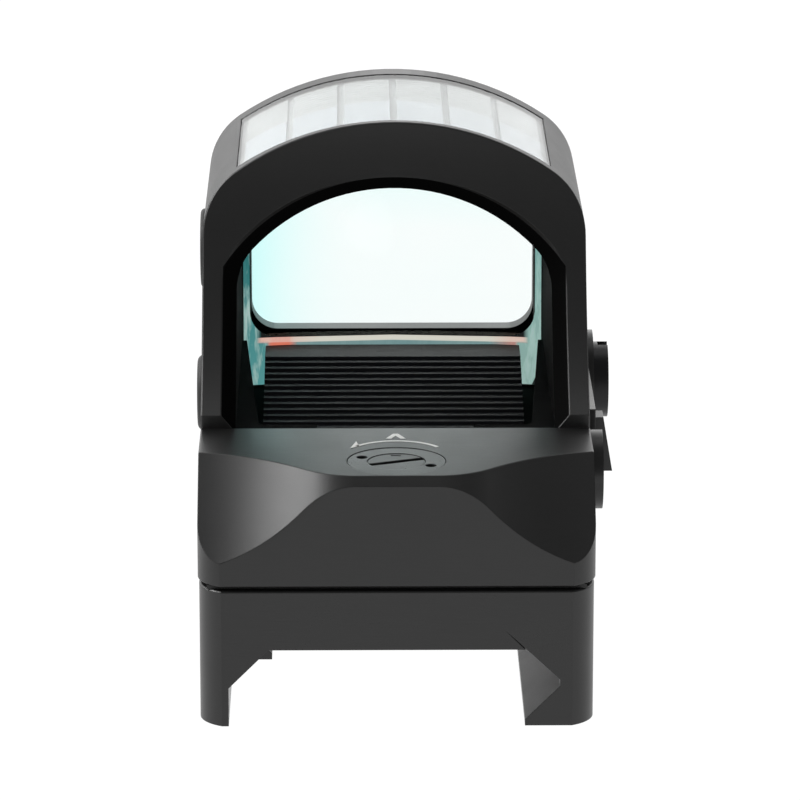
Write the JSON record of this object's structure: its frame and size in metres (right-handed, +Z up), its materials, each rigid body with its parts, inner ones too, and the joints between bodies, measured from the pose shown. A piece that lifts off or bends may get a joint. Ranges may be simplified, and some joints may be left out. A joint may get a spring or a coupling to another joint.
{
  "type": "red dot finder",
  "caption": "Open reflex red dot finder: a hooded coated lens, a light source in a trough, two slotted dials, side battery tray and a clamp for an accessory rail.",
  "frame": {"origin": "middle of the flat face that sits on the rail, between the recoil lugs", "axes": "+Y points at the target, along the rail; +X to the observer's right; +Z up, away from the rail"},
  "size_m": [0.0324, 0.0452, 0.0399],
  "materials": {
    "mount_black": "hard anodised satin black",
    "screw_black": "black oxide",
    "rubber_black": "matte",
    "housing_black": "hard anodised satin black, fine grain",
    "board_dark": "matte",
    "clear_glass": "polished",
    "solar_cell": "glossy dark blue grey",
    "coated_glass": "polished, teal reflecting coating",
    "bond_dark": "matte cured adhesive",
    "ramp_black": "matte moulded",
    "dial_black": "satin black",
    "brass_part": "machined",
    "led_red": "glossy",
    "tray_black": "satin black",
    "steel_bright": "brushed",
    "button_rubber": "matte",
    "flex_amber": "satin"
  },
  "bodies": {
    "chassis": {"rail_mount": "mount_black", "mount_screws": "screw_black", "base_gasket": "rubber_black", "housing": "housing_black", "solar_carrier": "board_dark", "solar_glass": "clear_glass", "solar_cells": "solar_cell", "lens": "coated_glass", "lens_bond": "bond_dark", "ramp_insert": "ramp_black", "main_board": "board_dark", "elevation_ring": "dial_black", "elevation_seal": "rubber_black", "windage_ring": "dial_black", "windage_seal": "rubber_black", "bottom_cover": "board_dark", "cover_screws": "screw_black", "battery_contact": "steel_bright", "button_flex": "flex_amber", "switch_domes": "steel_bright"},
    "clamp": {"clamp_jaw": "mount_black"},
    "clamp_bolt": {"clamp_screw": "screw_black"},
    "elevation_dial": {"elevation_screw": "dial_black"},
    "elevation_block": {"elevation_carriage": "brass_part"},
    "windage_dial": {"windage_screw": "dial_black"},
    "emitter": {"emitter_holder": "brass_part", "led_chip": "led_red", "emitter_cap": "bond_dark"},
    "tray": {"battery_tray": "tray_black", "battery_cell": "steel_bright", "tray_seal": "rubber_black"},
    "tray_lock": {"tray_lock_screw": "screw_black"},
    "minus_key": {"button_minus": "button_rubber"},
    "plus_key": {"button_plus": "button_rubber"}
  },
  "joints": [
    {"name": "clamp_slide", "type": "slide", "parent": "chassis", "child": "clamp", "axis": [-1, 0, 0], "range_m": [0, 0.0024]},
    {"name": "clamp_screw_turn", "type": "hinge", "parent": "clamp", "child": "clamp_bolt", "pos_m": [-0.0145, 0, 0.0004], "axis": [-1, 0, 0], "range_deg": [0, 1920]},
    {"name": "elevation_turn", "type": "hinge", "parent": "chassis", "child": "elevation_dial", "pos_m": [0, -0.0181, 0.01148], "axis": [0, 0, 1], "range_deg": [-450, 450]},
    {"name": "elevation_slide", "type": "slide", "parent": "chassis", "child": "elevation_block", "axis": [0, 0, 1], "range_m": [-0.0005, 0.0005]},
    {"name": "windage_turn", "type": "hinge", "parent": "chassis", "child": "windage_dial", "pos_m": [0.0146, -0.0066, 0.0075], "axis": [1, 0, 0], "range_deg": [-450, 450]},
    {"name": "windage_slide", "type": "slide", "parent": "elevation_block", "child": "emitter", "axis": [1, 0, 0], "range_m": [-0.0005, 0.0005]},
    {"name": "tray_slide", "type": "slide", "parent": "chassis", "child": "tray", "axis": [1, 0, 0], "range_m": [0, 0.02]},
    {"name": "tray_lock_turn", "type": "hinge", "parent": "tray", "child": "tray_lock", "pos_m": [0.0146, 0.0154, 0.0086], "axis": [1, 0, 0], "range_deg": [0, 1440]},
    {"name": "minus_press", "type": "slide", "parent": "chassis", "child": "minus_key", "axis": [1, 0, 0], "range_m": [0, 0.00035], "stiffness_N_per_m": 3000},
    {"name": "plus_press", "type": "slide", "parent": "chassis", "child": "plus_key", "axis": [1, 0, 0], "range_m": [0, 0.00035], "stiffness_N_per_m": 3000}
  ],
  "couplings": [
    {"joint": "clamp_screw_turn", "follows": "clamp_slide", "rad_per_m": 13963},
    {"joint": "elevation_turn", "follows": "elevation_slide", "rad_per_m": 15708},
    {"joint": "windage_turn", "follows": "windage_slide", "rad_per_m": 15708}
  ]
}
